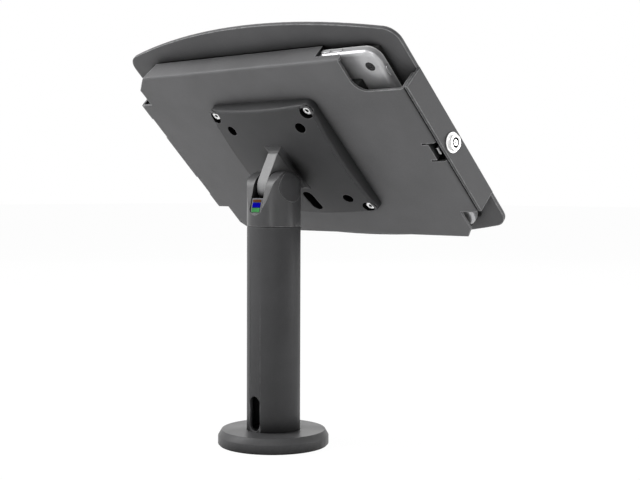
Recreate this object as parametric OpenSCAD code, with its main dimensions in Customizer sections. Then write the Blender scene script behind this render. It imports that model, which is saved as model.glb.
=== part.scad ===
// Tablet security kiosk stand: a round base, a slotted pole, a clevis head that swivels and tilts,
// and a locking sheet-metal enclosure round a tablet. Millimetres, +Z up, origin at the centre of
// the base's underside. The tablet's screen faces -Y and up; the lock is on the -X side.

/* [Base] */
// Outside radius of the base disc
base_r = 43.1; // [40:0.1:60]
// Height of the base disc's top face above the counter
base_h = 12; // [10:0.5:20]
// Width of the chamfer round the top, seen from above
base_chamfer_w = 2.8; // [0.5:0.1:6]
// Height of that chamfer
base_chamfer_h = 4.7; // [1:0.1:6]
// Thickness of the rubber foot pad
foot_pad_t = 1; // [0.5:0.1:2]
// Circle of the threaded holes that bolt the base to a counter
base_bolt_pcd = 60; // [56:1:70]
// Core radius of those holes
base_bolt_r = 2.5; // [2:0.1:3]

/* [Pole] */
// Outside radius of the pole and of the head above it
pole_r = 20.8; // [19:0.1:26]
// Wall of the pole tube
pole_wall = 2.4; // [1.5:0.1:3.5]
// Height of the seam between the pole and the head
seam_z = 170; // [120:1:400]
// Width of the cable slot in the pole
pole_slot_w = 10.6; // [6:0.1:14]
// Length of the cable slot in the pole
pole_slot_l = 27; // [16:0.5:60]
// Height of the slot's lower end above the base disc
pole_slot_rise = 0.4; // [0.2:0.1:20]

/* [Head] */
// Height of the tilt pivot above the seam
pivot_rise = 30; // [29:0.5:36]
// Radius of the head's round nose, seen from the side
nose_r = 16.2; // [15:0.1:18]
// Drop of the nose's centre below the pivot
nose_drop = 4; // [2:0.5:5]
// Height above the seam where the sloped faces begin
slope_rise = 8; // [4:0.5:9]
// Radius of the rounding round the top of the head
head_round_r = 8.5; // [6:0.5:10]
// Width of the slot that the arm swings in
head_slot_w = 13.1; // [11:0.1:15]
// Height of the slot's floor above the seam
slot_floor_rise = 9.8; // [8:0.1:11]
// Radius of the round caps over the pivot
cap_r = 11.2; // [9:0.1:11.5]
// Radius of the pivot pin
pin_r = 4; // [3:0.1:5]

/* [Tilt arm and mounting plate] */
// Angle of the screen's normal away from straight up
tilt = 44.6; // [10:0.1:80]
// Radius of the arm's round nose
arm_nose_r = 13; // [11:0.1:14]
// Half width of the arm where it flares into its foot
arm_root_half = 19.1; // [16:0.1:24]
// Distance from the pivot to the top of the mounting plate's dome
plate_near = 20.7; // [20:0.1:26]
// Distance from the pivot to the plate's face on the tray
plate_far = 35.7; // [34:0.1:45]
// Rise of the dome from the plate's outer screws to its middle
plate_dome = 7.1; // [3:0.1:8]
// Width of the plate outside its screws
plate_margin = 6; // [5.8:0.1:15]
// Spacing of the four screws that hold the tray
screw_pitch = 100; // [92:1:110]
// Spacing of the four spare holes
spare_pitch = 75; // [66:1:82]

/* [Tray] */
// Thickness of the tray's sheet metal
sheet_t = 2; // [1.2:0.1:2.6]
// Half width of the tray's side wings
wing_half = 60.5; // [54:0.5:66]
// Gap between the tablet's long edges and the tray's walls
tablet_gap = 0.45; // [0.2:0.05:1]
// Room between the tablet and the side wall away from the lock
far_room = 15.4; // [12:0.1:20]
// Room between the tablet and the side wall next to the lock
lock_room = 14; // [13:0.1:20]

/* [Bezel] */
// Overhang of the bezel past the side wall away from the lock
bezel_over_u = 3; // [2:0.1:6]
// Overhang of the bezel past the tray's long walls, at its middle
bezel_over_v = 22.5; // [18:0.5:30]
// Radius of the bowed edges
bow_r = 600; // [500:5:1000]
// Radius of the bezel's corners
bezel_corner_r = 13; // [8:0.5:18]
// Thickness of the bezel
bezel_t = 3; // [2:0.1:4]
// Gap between the tray's walls and the bezel
bezel_gap = 2; // [1.6:0.1:3]
// Gap between the display's edge and the window
window_gap = 0.6; // [0.2:0.1:2]
// Length of the side flange that carries the lock
flange_l = 121.5; // [90:0.5:124]

/* [Tablet] */
// Length of the tablet
tablet_l = 250.6; // [235:0.1:270]
// Width of the tablet
tablet_w = 174.1; // [165:0.1:190]
// Thickness of the tablet
tablet_t = 7.5; // [6.5:0.1:9]
// Radius of the tablet's corners
tablet_corner_r = 11; // [8:0.5:16]
// Depth of the rubber pads behind the tablet
pad_t = 7; // [6:0.1:10]

/* [Lock] */
// Radius of the lock's head
lock_head_r = 7.6; // [7:0.1:9]
// Radius of the drum that stands out of the lock's head
lock_drum_r = 5.9; // [5.2:0.1:6.5]
// Height of that drum
lock_drum_h = 2.4; // [1.5:0.1:4]
// Outside radius of the ring-shaped keyway
lock_keyway_r = 3.8; // [3.5:0.1:4.4]
// Height of the lock's axis above the tray's floor
lock_rise = 9; // [9:0.1:10]
// Place of the lock along the flange
lock_v = -1.8; // [-20:0.1:20]
// Length of the cam from its axis to its tip
cam_reach = 8.5; // [7:0.1:8.5]

/* [Hidden] */
$fn = 64;
fine = 96;
tiny = 0.01;
bore_gap = 0.05;
soft_gap = 0.3;

// Base and pole
base_bore_r = 8;
base_bolt_l = 9;
base_boss_r = base_bolt_r + 2.5;
socket_depth = 5;
socket_z = base_h - socket_depth;
socket_r = pole_r + bore_gap;
pole_bore_r = pole_r - pole_wall;
anchor_r = pole_bore_r - bore_gap;
anchor_screw_r = 2;
anchor_head_r = 4;
anchor_head_h = 2;
anchor_pcd = 2 * (anchor_r - anchor_head_r - 0.85);

// Swivel
bush_flange_t = 0.8;
bush_flange_r = pole_r - 0.5;
bush_l = 20;
bush_z = seam_z - bush_l;
shaft_r = pole_bore_r - 5.4;
shaft_bore_r = shaft_r - 6;
nut_h = 6;
nut_r = pole_bore_r - 1;
shaft_foot_z = bush_z - nut_h - 1;
shaft_top_z = seam_z + 5.5;

// Head
head_z = seam_z + bore_gap;
pivot_z = seam_z + pivot_rise;
nose_z = pivot_z - nose_drop;
head_top_z = nose_z + nose_r + 0.3;
slope_z = seam_z + slope_rise;
slot_floor_z = seam_z + slot_floor_rise;
slot_corner_r = 3.5;
slope_run = norm([pole_r, nose_z - slope_z]);
tangent_angle = acos(nose_r / slope_run) - atan2(nose_z - slope_z, pole_r);
tangent_y = nose_r * cos(tangent_angle);
tangent_z = nose_z + nose_r * sin(tangent_angle);
slope_angle = atan2(pole_r - tangent_y, tangent_z - slope_z);
cap_seat_x = pole_r - 5.3;
cap_gap = 0.2;
pin_l = 2 * cap_seat_x - 0.4;
washer_r = arm_nose_r - 2.5;
washer_t = 1.2;
washer_gap = 0.1;
insert_gap = 0.85;
insert_h = 11.7;
insert_back_y = 13;
insert_inset = 0.5;
band_half = 4.3;
band_t = 0.35;
// Each band's foot and top along the slope, counted from where the slope begins
green_band = [3, 6.2];
blue_band = [6.7, 10.4];
amber_band = [11, 12.7];

// Arm and plate, in the tilting frame: u along X, v up the tablet, n out of the screen
arm_t = head_slot_w - 2 * (washer_t + washer_gap);
arm_root_round = 4;
arm_root_n = plate_near + 0.5 - arm_root_round;
arm_foot_n = plate_near + 1.8;
arm_foot_half = [arm_t / 2 + arm_root_round, arm_root_half + arm_root_round];
arm_screw_v = 12;
arm_screw_r = 2.5;
arm_screw_tip = 9.5;
arm_screw_head_r = 5;
arm_screw_head_h = 2.8;
plate_w = screw_pitch + 2 * plate_margin;
plate_corner_r = 5;
dome_r = (pow(screw_pitch, 2) / 2 + pow(plate_dome, 2)) / (2 * plate_dome);
counterbore_r = 5.7;
counterbore_n = plate_far - 4.2;
spare_r = 4.4;
screw_hole_r = 2.2;
screw_r = 2;
screw_head_r = 3.9;
screw_head_h = 2.3;
key_socket_r = 1.5;
key_socket_h = 1.4;
plate_slot_v = -38.5;
plate_slot_w = 10;
plate_slot_l = 22.4;

// Tablet's place in the tilting frame, and the depths that follow from it
tablet_at = [-1.2, -0.5];
tablet_end = tablet_l / 2;
tablet_edge = tablet_w / 2;
sheet_n = plate_far;
floor_n = sheet_n + sheet_t;
back_n = floor_n + pad_t;
glass_n = back_n + tablet_t;
wall_n = glass_n + 1;
bezel_n = wall_n + bezel_gap;
face_n = bezel_n + bezel_t;

// Tray
tray_half_u = tablet_end + 2.4;
tray_low_v = tablet_at[1] - tablet_edge - tablet_gap - sheet_t;
tray_top_v = tablet_at[1] + tablet_edge + tablet_gap + sheet_t;
wing_far = tablet_at[0] + tablet_end + far_room + sheet_t;
wing_lock = tablet_end - tablet_at[0] + lock_room + sheet_t;
wing_lock_v = [-wing_half - 1.3, wing_half - 1.5];
notch_l = 25.5;
notch_u = tablet_at[0] - tablet_end + notch_l;
notch_round = 11;
low_wall_h = 6;
low_wall_u = [notch_u - 1, notch_u + 25];
top_cut = [13.7, 12];
foot_cut = [7.7, 9.5];
wall_lean = 3;
lock_notch_half = 8.8;
lock_notch_v = [lock_v + 1 - lock_notch_half, lock_v + 1 + lock_notch_half];
lock_notch_u = -wing_lock + 9;
relief_l = 3.5;
relief_w = 1.2;
tab_v = [lock_notch_v[0] + relief_w, lock_notch_v[1] - relief_w];
hook_v = 34.5;
hook_w = 22;
hook_h = 12.3;
hook_recess = 2.5;
nut_boss_r = 4;
nut_boss_h = 3;
screw_tip_n = floor_n + nut_boss_h + 1;
pad_size = [30, 20];
pad_inset = [37.3, 33.5];
pad_at = [tablet_end, tablet_edge] - pad_inset;
side_pad_size = [8, 10];
side_pad_v = 17;

// Bezel
bezel_half_u = wing_far + bezel_over_u;
bezel_half_v = tablet_edge + tablet_gap + sheet_t + bezel_over_v;
flange_t = 2.5;
flange_in = wing_lock + 1;
flange_out = flange_in + flange_t;
flange_low_v = -wing_half - 1.5;
flange_n = sheet_n + 1.5;
window_bevel = 1.2;
home_u = tablet_end - 10.9;
home_r = 7.3;
home_hole_r = home_r + 0.6;
front_camera_u = 10 - tablet_end;
front_camera_r = 1.8;
camera_hole_r = 4;
tongue_w = 20;
tongue_t = 2;
tongue_l = 11;
tongue_gap = 0.6;
gasket_over = 1.35;
gasket_edge_v = 3.1;
gasket_ring = 1;

// Tablet's own features
glass_t = 1;
back_round = 3.2;
back_steps = 3;
display_margin = [21.4, 9.05];
display_half = [tablet_end, tablet_edge] - display_margin;
display_t = 0.6;
camera_inset = [9.7, 13];
camera_at = [camera_inset[0] - tablet_end, tablet_edge - camera_inset[1]];
camera_r = 3.6;
camera_proud = 0.4;
button_t = 2.6;
button_l = 9;
button_depth = 2;
button_proud = 0.7;
button_gap = 0.1;
button_n = back_n + 4.2;
volume_up_inset = 34.5;
volume_down_inset = 46;
power_inset = 21;
volume_up_u = volume_up_inset - tablet_end;
volume_down_u = volume_down_inset - tablet_end;
power_v = tablet_edge - power_inset;

// Lock
barrel_r = 6;
flange_hole_r = 6.1;
barrel_l = 3.4;
barrel_end_u = flange_in - barrel_l;
head_t = 1.3;
lock_face_u = flange_out + head_t + lock_drum_h;
keyway_w = 1.2;
keyway_depth = 2.6;
key_notch = 0.9;
lock_nut_r = 8;
lock_nut_t = 2.6;
plug_core_r = 3.2;
lock_n = floor_n + lock_rise;
cam_t = 1.8;
cam_half_w = 3;
cam_hub_r = 4;
cam_u = barrel_end_u - 0.2;
cam_screw_r = 2.8;
cam_screw_t = 1.4;
stud_r = 1.5;
stud_gap = 0.2;
stud_v = lock_v + cam_reach - 1.7;
stud_n = lock_n + cam_half_w + stud_r + stud_gap;

// Colours
powder = [0.27, 0.27, 0.28];
powder_light = [0.36, 0.36, 0.37];
black_rubber = [0.06, 0.06, 0.06];
steel = [0.72, 0.72, 0.73];
bright = [0.9, 0.9, 0.9];
silver = [0.8, 0.81, 0.82];
white_glass = [0.93, 0.93, 0.93];
screen_black = [0.03, 0.03, 0.035];
nylon = [0.12, 0.12, 0.13];
pale = [0.72, 0.72, 0.74];
green = [0.25, 0.62, 0.28];
blue = [0.05, 0.05, 0.65];
amber = [0.45, 0.3, 0.08];

/* [Show] */
// Sub-part to draw, or all of them

/* [Hidden] */

// Carries its children into the tilting frame, whose origin is the pivot
module tilted() {
    translate([0, 0, pivot_z])
        rotate([tilt, 0, 0])
            children();
}

// Carries its children to the tablet's centre in the tilting frame
module at_tablet() {
    tilted()
        translate(tablet_at)
            children();
}

// Carries its children to the lock's axis, with +Z pointing out of the lock's head
module at_lock(reach) {
    tilted()
        translate([-reach, lock_v, lock_n])
            rotate([0, -90, 0])
                children();
}

// Turns an outline in the Y-Z plane into a block that is as wide as given along X
module across_x(width) {
    rotate([90, 0, 90])
        linear_extrude(width, center = true)
            children();
}

// A box between two opposite corners
module span(low, high) {
    translate(low)
        cube(high - low);
}

module ring(outer, inner, height) {
    difference() {
        cylinder(h = height, r = outer);
        translate([0, 0, -1])
            cylinder(h = height + 2, r = inner);
    }
}

module round_rect(size, r) {
    square([size[0] - 2 * r, size[1]], center = true);
    square([size[0], size[1] - 2 * r], center = true);
    for (x = [-1, 1], y = [-1, 1])
        translate([x * (size[0] / 2 - r), y * (size[1] / 2 - r)])
            circle(r);
}

module obround(width, length) {
    square([width, length - width], center = true);
    for (end = [-1, 1])
        translate([0, end * (length - width) / 2])
            circle(d = width);
}

module square_pattern(pitch) {
    for (x = [-1, 1], y = [-1, 1])
        translate([x * pitch / 2, y * pitch / 2, 0])
            children();
}

module ring_pattern(pcd, count, start) {
    for (i = [0:count - 1])
        rotate([0, 0, start + i * 360 / count])
            translate([pcd / 2, 0, 0])
                children();
}

module foot_pad() {
    color(black_rubber)
        difference() {
            cylinder(h = foot_pad_t, r = base_r - 1, $fn = fine);
            translate([0, 0, -1])
                cylinder(h = foot_pad_t + 2, r = anchor_pcd / 2 + anchor_head_r + 1);
            ring_pattern(base_bolt_pcd, 4, 45)
                translate([0, 0, -1])
                    cylinder(h = foot_pad_t + 2, r = base_boss_r + soft_gap);
        }
}

module base_disc() {
    color(powder)
        difference() {
            union() {
                rotate_extrude($fn = fine)
                    polygon([
                        [base_bore_r, foot_pad_t], [base_r, foot_pad_t],
                        [base_r, base_h - base_chamfer_h], [base_r - base_chamfer_w, base_h],
                        [socket_r, base_h], [socket_r, socket_z], [base_bore_r, socket_z]
                    ]);
                ring_pattern(base_bolt_pcd, 4, 45)
                    cylinder(h = foot_pad_t + 1, r = base_boss_r);
            }
            ring_pattern(base_bolt_pcd, 4, 45)
                translate([0, 0, -1])
                    cylinder(h = base_bolt_l + 1, r = base_bolt_r);
            ring_pattern(anchor_pcd, 3, 90) {
                cylinder(h = base_h, r = anchor_screw_r + bore_gap);
                cylinder(h = foot_pad_t + anchor_head_h + bore_gap, r = anchor_head_r + bore_gap);
            }
        }
}

module pole_tube() {
    slot_z = base_h + pole_slot_rise + pole_slot_l / 2;
    color(powder)
        difference() {
            translate([0, 0, socket_z])
                ring(pole_r, pole_bore_r, seam_z - bush_flange_t - socket_z, $fn = fine);
            translate([0, pole_r / 2, slot_z])
                rotate([-90, 0, 0])
                    linear_extrude(pole_r)
                        obround(pole_slot_w, pole_slot_l);
        }
}

module pole_anchor() {
    color(steel)
        difference() {
            translate([0, 0, socket_z])
                ring(anchor_r, base_bore_r, socket_depth);
            ring_pattern(anchor_pcd, 3, 90)
                cylinder(h = base_h + 1, r = anchor_screw_r + bore_gap);
        }
}

module anchor_screws() {
    color(steel)
        ring_pattern(anchor_pcd, 3, 90)
            translate([0, 0, foot_pad_t])
                difference() {
                    union() {
                        cylinder(h = anchor_head_h, r = anchor_head_r);
                        cylinder(h = base_h - foot_pad_t - 0.5, r = anchor_screw_r);
                    }
                    translate([0, 0, -1])
                        cylinder(h = key_socket_h + 1, r = key_socket_r, $fn = 6);
                }
}

module swivel_bush() {
    color(nylon)
        difference() {
            union() {
                translate([0, 0, bush_z])
                    cylinder(h = bush_l, r = pole_bore_r - bore_gap);
                translate([0, 0, seam_z - bush_flange_t])
                    cylinder(h = bush_flange_t, r = bush_flange_r);
            }
            translate([0, 0, bush_z - 1])
                cylinder(h = bush_l + 2, r = shaft_r + bore_gap);
        }
}

module swivel_shaft() {
    color(steel)
        translate([0, 0, shaft_foot_z])
            ring(shaft_r, shaft_bore_r, shaft_top_z - shaft_foot_z);
}

module shaft_nut() {
    color(steel)
        translate([0, 0, bush_z - nut_h - 0.1])
            difference() {
                cylinder(h = nut_h, r = nut_r, $fn = 6);
                translate([0, 0, -1])
                    cylinder(h = nut_h + 2, r = shaft_r + tiny);
            }
}

// The head's round body with its rounded top edge
module head_round() {
    rotate_extrude($fn = fine)
        intersection() {
            square([pole_r, head_top_z]);
            union() {
                translate([0, head_z])
                    square([pole_r, head_top_z - head_round_r - head_z]);
                translate([0, head_z])
                    square([pole_r - head_round_r, head_top_z - head_z]);
                translate([pole_r - head_round_r, head_top_z - head_round_r])
                    circle(head_round_r);
            }
        }
}

// The head seen from its side: straight foot, sloped faces, round nose
module head_side() {
    polygon([
        [-pole_r - 1, head_z - 1], [pole_r + 1, head_z - 1], [pole_r + 1, slope_z],
        [pole_r, slope_z], [tangent_y, tangent_z], [-tangent_y, tangent_z],
        [-pole_r, slope_z], [-pole_r - 1, slope_z]
    ]);
    translate([0, nose_z])
        circle(nose_r, $fn = fine);
}

module head_envelope() {
    intersection() {
        head_round();
        across_x(3 * pole_r)
            head_side();
    }
}

// A U of the given half width that stands on the slot's floor, with rounded lower corners
module slot_shape(half, height) {
    corner = slot_corner_r - (head_slot_w / 2 - half);
    translate([0, slot_floor_z]) {
        translate([-half, corner])
            square([2 * half, height - corner]);
        translate([corner - half, 0])
            square([2 * (half - corner), height]);
        for (side = [-1, 1])
            translate([side * (half - corner), corner])
                circle(corner);
    }
}

module swivel_head() {
    color(powder)
        difference() {
            head_envelope();
            rotate([90, 0, 0])
                linear_extrude(4 * pole_r, center = true)
                    slot_shape(head_slot_w / 2, head_top_z - slot_floor_z + 5);
            translate([0, 0, pivot_z])
                rotate([0, 90, 0])
                    cylinder(h = 2 * cap_seat_x + 1, r = pin_r + tiny, center = true);
            for (side = [0, 180])
                rotate([0, 0, side])
                    translate([cap_seat_x, 0, pivot_z])
                        rotate([0, 90, 0])
                            cylinder(h = pole_r, r = cap_r + cap_gap);
            translate([0, 0, head_z - 1])
                cylinder(h = shaft_top_z - head_z + 1, r = shaft_r + tiny);
        }
}

module pivot_pin() {
    color(steel)
        translate([0, 0, pivot_z])
            rotate([0, 90, 0])
                cylinder(h = pin_l, r = pin_r, center = true);
}

// A cap that fills its seat and follows the outside of the head
module pivot_cap(side) {
    color(powder)
        intersection() {
            head_envelope();
            rotate([0, 0, side])
                translate([cap_seat_x, 0, pivot_z])
                    rotate([0, 90, 0])
                        cylinder(h = pole_r, r = cap_r);
        }
}

module friction_washers() {
    color(steel)
        for (side = [-1, 1])
            translate([side * (head_slot_w - washer_t) / 2, 0, pivot_z])
                rotate([0, 90, 0])
                    translate([0, 0, -washer_t / 2])
                        ring(washer_r, pin_r + bore_gap, washer_t);
}

// Carries its children to the foot of the sloped back face, with +Y out of the face
module on_slope() {
    translate([0, pole_r, slope_z])
        rotate([slope_angle, 0, 0])
            children();
}

module slot_insert() {
    color(pale)
        difference() {
            translate([0, insert_back_y, 0])
                mirror([0, 1, 0])
                    rotate([90, 0, 0])
                        linear_extrude(pole_r)
                            slot_shape(head_slot_w / 2 - insert_gap, insert_h);
            on_slope()
                span([-pole_r, -insert_inset, -pole_r], [pole_r, pole_r, 2 * pole_r]);
        }
}

module insert_band(tone, reach) {
    color(tone)
        on_slope()
            span(
                [-band_half, -insert_inset, reach[0]],
                [band_half, band_t - insert_inset, reach[1]]
            );
}

// The arm seen from its side: a round nose with straight flanks down to the root
module arm_side() {
    reach = norm([arm_root_half, arm_root_n]);
    touch = atan2(arm_root_n, arm_root_half) - acos(arm_nose_r / reach);
    flank = arm_nose_r * [cos(touch), sin(touch)];
    circle(arm_nose_r, $fn = fine);
    polygon([
        [-flank[0], flank[1]], flank, [arm_root_half, arm_root_n],
        [arm_root_half, arm_foot_n - 0.5], [-arm_root_half, arm_foot_n - 0.5],
        [-arm_root_half, arm_root_n]
    ]);
}

// The arm's foot, flared on all four sides by a concave round
module arm_foot() {
    difference() {
        span(
            [-arm_foot_half[0], -arm_foot_half[1], arm_root_n],
            [arm_foot_half[0], arm_foot_half[1], arm_foot_n]
        );
        for (side = [-1, 1]) {
            translate([side * arm_foot_half[0], 0, arm_root_n])
                rotate([90, 0, 0])
                    cylinder(h = 3 * arm_root_half, r = arm_root_round, center = true);
            translate([0, side * arm_foot_half[1], arm_root_n])
                rotate([0, 90, 0])
                    cylinder(h = 3 * arm_root_half, r = arm_root_round, center = true);
        }
    }
}

module tilt_arm() {
    color(powder_light)
        tilted()
            difference() {
                union() {
                    across_x(arm_t)
                        arm_side();
                    arm_foot();
                }
                rotate([0, 90, 0])
                    cylinder(h = 2 * arm_t, r = pin_r + bore_gap, center = true);
                for (v = [-arm_screw_v, arm_screw_v])
                    translate([0, v, arm_screw_tip - 0.5])
                        cylinder(h = arm_foot_n, r = arm_screw_r + tiny);
            }
}

module arm_screws() {
    color(steel)
        tilted()
            for (v = [-arm_screw_v, arm_screw_v])
                translate([0, v, 0]) {
                    translate([0, 0, arm_screw_tip])
                        cylinder(h = plate_far - arm_screw_tip - 1, r = arm_screw_r);
                    translate([0, 0, plate_far - arm_screw_head_h - 0.1])
                        cylinder(h = arm_screw_head_h, r = arm_screw_head_r);
                }
}

module mounting_plate() {
    color(powder)
        tilted()
            difference() {
                intersection() {
                    translate([0, 0, plate_near - 1])
                        linear_extrude(plate_far - plate_near + 1)
                            round_rect([plate_w, plate_w], plate_corner_r);
                    translate([0, 0, plate_near + dome_r])
                        sphere(dome_r, $fn = 240);
                }
                span(
                    [-arm_foot_half[0], -arm_foot_half[1], plate_near - 2],
                    [arm_foot_half[0], arm_foot_half[1], arm_foot_n]
                );
                square_pattern(screw_pitch) {
                    translate([0, 0, plate_near])
                        cylinder(h = counterbore_n - plate_near, r = counterbore_r);
                    translate([0, 0, plate_near])
                        cylinder(h = plate_far, r = screw_hole_r);
                }
                square_pattern(spare_pitch)
                    translate([0, 0, plate_near])
                        cylinder(h = plate_far, r = spare_r);
                translate([0, plate_slot_v, plate_near])
                    linear_extrude(plate_far)
                        obround(plate_slot_w, plate_slot_l);
                for (v = [-arm_screw_v, arm_screw_v])
                    translate([0, v, plate_near]) {
                        cylinder(h = plate_far, r = arm_screw_r + bore_gap);
                        translate([0, 0, plate_far - arm_screw_head_h - plate_near - 0.2])
                            cylinder(h = plate_far, r = arm_screw_head_r + bore_gap);
                    }
            }
}

module mounting_screws() {
    color(bright)
        tilted()
            square_pattern(screw_pitch)
                difference() {
                    union() {
                        translate([0, 0, counterbore_n - screw_head_h])
                            cylinder(h = screw_head_h, r = screw_head_r);
                        translate([0, 0, counterbore_n - 1])
                            cylinder(h = screw_tip_n - counterbore_n + 1, r = screw_r);
                    }
                    translate([0, 0, counterbore_n - screw_head_h - 1])
                        cylinder(h = key_socket_h + 1, r = key_socket_r, $fn = 6);
                }
}

// A triangle that takes a corner off the tray, for a corner at the given place
module corner_cut(place, cut) {
    translate(place)
        polygon([
            [-cut[0], 0], [-cut[0], sign(cut[1])], [1, sign(cut[1])],
            [1, -cut[1]], [0, -cut[1]]
        ]);
}

// The hole in the tray's corner that lets the tablet's camera look out
module camera_notch() {
    difference() {
        translate([-wing_lock - 1, wing_lock_v[1]])
            square([wing_lock + 1 + notch_u, tablet_w]);
        difference() {
            translate([notch_u - notch_round, wing_lock_v[1]])
                square(notch_round);
            translate([notch_u - notch_round, wing_lock_v[1] + notch_round])
                circle(notch_round);
        }
    }
}

// The open place in front of the lock, with a relief slit on either side of the tab
module lock_notch() {
    tab_out = lock_notch_u - sheet_t;
    translate([-wing_lock - 1, lock_notch_v[0]])
        square([wing_lock + 1 + tab_out, lock_notch_v[1] - lock_notch_v[0]]);
    for (v = [lock_notch_v[0], tab_v[1]])
        translate([tab_out - 1, v])
            square([relief_l + sheet_t + 1, relief_w]);
}

module tray_outline() {
    difference() {
        union() {
            translate([-tray_half_u, tray_low_v])
                square([2 * tray_half_u, tray_top_v - tray_low_v]);
            translate([-wing_lock, wing_lock_v[0]])
                square([wing_lock, wing_lock_v[1] - wing_lock_v[0]]);
            translate([0, -wing_half])
                square([wing_far, 2 * wing_half]);
        }
        corner_cut([tray_half_u, tray_top_v], top_cut);
        for (side = [0, 1])
            mirror([side, 0])
                translate([tray_half_u, tray_low_v])
                    polygon([
                        [-foot_cut[0], 0], [-foot_cut[0], -1], [1, -1], [1, foot_cut[1]],
                        [0, foot_cut[1]]
                    ]);
        camera_notch();
        lock_notch();
        translate([0, plate_slot_v])
            obround(plate_slot_w, plate_slot_l);
        square_pattern(screw_pitch)
            circle(screw_hole_r);
    }
}

// A sliver along an outside fold, taken off to round it; the fold runs along +X
module fold_round(length) {
    rotate([90, 0, 90])
        linear_extrude(length)
            difference() {
                translate([-1, -1])
                    square(sheet_t + 1);
                translate([sheet_t, sheet_t])
                    circle(sheet_t);
            }
}

// The tray's bent walls on its two long edges
module long_walls() {
    low_end = low_wall_u[0] + low_wall_h / 2;
    top_end = tray_half_u - top_cut[0];
    foot_end = tray_half_u - foot_cut[0];
    translate([0, tray_top_v, 0])
        rotate([90, 0, 0])
            linear_extrude(sheet_t) {
                polygon([
                    [low_wall_u[1], sheet_n], [top_end, sheet_n], [top_end - wall_lean, wall_n],
                    [low_wall_u[1], wall_n]
                ]);
                translate([low_end, sheet_n])
                    square([low_wall_u[1] - low_end, low_wall_h]);
                translate([low_end, sheet_n + low_wall_h / 2])
                    circle(low_wall_h / 2);
            }
    translate([0, tray_low_v + sheet_t, 0])
        rotate([90, 0, 0])
            linear_extrude(sheet_t)
                polygon([
                    [-foot_end, sheet_n], [foot_end, sheet_n],
                    [foot_end - wall_lean, wall_n], [wall_lean - foot_end, wall_n]
                ]);
}

// The tray's bent walls on its two wings, and the tab that carries the catch stud
module side_walls() {
    span([wing_far - sheet_t, -wing_half, sheet_n], [wing_far, wing_half, wall_n]);
    span(
        [-wing_lock, wing_lock_v[0], sheet_n],
        [sheet_t - wing_lock, lock_notch_v[0], wall_n]
    );
    span(
        [-wing_lock, lock_notch_v[1], sheet_n],
        [sheet_t - wing_lock, wing_lock_v[1], wall_n]
    );
    span([lock_notch_u - sheet_t, tab_v[0], sheet_n], [lock_notch_u, tab_v[1], wall_n]);
}

module fold_rounds() {
    translate([-wing_lock, tray_top_v, sheet_n])
        mirror([0, 1, 0])
            fold_round(2 * wing_lock);
    translate([-wing_lock, tray_low_v, sheet_n])
        fold_round(2 * wing_lock);
    translate([wing_far, -wing_far, sheet_n])
        rotate([0, 0, 90])
            fold_round(2 * wing_far);
    translate([-wing_lock, wing_lock, sheet_n])
        rotate([0, 0, -90])
            fold_round(2 * wing_lock);
}

module tray() {
    color(powder)
        tilted()
            difference() {
                union() {
                    translate([0, 0, sheet_n])
                        linear_extrude(sheet_t)
                            tray_outline();
                    long_walls();
                    side_walls();
                }
                fold_rounds();
                for (v = [-hook_v, hook_v])
                    span(
                        [wing_far - hook_recess, v - hook_w / 2, sheet_n - 1],
                        [wing_far + 1, v + hook_w / 2, sheet_n + hook_h]
                    );
                translate([lock_notch_u - sheet_t - 1, stud_v, stud_n])
                    rotate([0, 90, 0])
                        cylinder(h = sheet_t + 2, r = stud_r + tiny);
            }
}

module clinch_nuts() {
    color(steel)
        tilted()
            square_pattern(screw_pitch)
                translate([0, 0, floor_n])
                    ring(nut_boss_r, screw_r + tiny, nut_boss_h);
}

module catch_stud() {
    stud_end = barrel_end_u - 0.2;
    color(steel)
        tilted()
            translate([-stud_end, stud_v, stud_n])
                rotate([0, 90, 0])
                    cylinder(h = stud_end + lock_notch_u, r = stud_r);
}

module tablet_pads() {
    color(black_rubber)
        tilted()
            for (u = [-1, 1], v = [-1, 1])
                translate([u * pad_at[0], v * pad_at[1], floor_n + (pad_t - soft_gap) / 2])
                    cube([pad_size[0], pad_size[1], pad_t - soft_gap], center = true);
}

module side_pads() {
    height = glass_n - glass_t - floor_n;
    color(black_rubber)
        at_tablet()
            for (u = [-1, 1], v = [-1, 1])
                translate([
                    u * (tablet_end + soft_gap + side_pad_size[0] / 2), v * side_pad_v,
                    floor_n + height / 2
                ])
                    cube([side_pad_size[0], side_pad_size[1], height], center = true);
}

module tablet_plan(inset) {
    round_rect([tablet_l - 2 * inset, tablet_w - 2 * inset], tablet_corner_r - inset);
}

// The tablet's body, with a round along the edges of its back
module tablet_body() {
    hull() {
        for (angle = [0:90 / back_steps:90])
            translate([0, 0, back_n + back_round * (1 - sin(angle))])
                linear_extrude(tablet_t - glass_t - back_round * (1 - sin(angle)))
                    tablet_plan(back_round * (1 - cos(angle)), $fn = 32);
    }
}

module button_pocket(u, v, turn) {
    translate([u, v, button_n])
        rotate([0, 0, turn])
            cube([
                button_l + 2 * button_gap, 2 * (button_depth + button_gap),
                button_t + 2 * button_gap
            ], center = true);
}

module tablet_shell() {
    color(silver)
        at_tablet()
            difference() {
                tablet_body();
                translate([camera_at[0], camera_at[1], back_n - 1])
                    cylinder(h = 2.6, r = camera_r + tiny);
                translate([home_u, 0, glass_n - glass_t - 1.5])
                    cylinder(h = 4, r = home_r + button_gap);
                button_pocket(volume_up_u, tablet_edge, 0);
                button_pocket(volume_down_u, tablet_edge, 0);
                button_pocket(-tablet_end, power_v, 90);
            }
}

module tablet_glass() {
    color(white_glass)
        at_tablet()
            difference() {
                translate([0, 0, glass_n - glass_t])
                    linear_extrude(glass_t)
                        tablet_plan(0.3);
                translate([0, 0, glass_n - display_t])
                    linear_extrude(glass_t)
                        square(2 * display_half, center = true);
                translate([home_u, 0, glass_n - 2])
                    cylinder(h = 4, r = home_r + button_gap);
                translate([front_camera_u, 0, glass_n - 0.5])
                    cylinder(h = 1, r = front_camera_r + tiny);
            }
}

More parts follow.
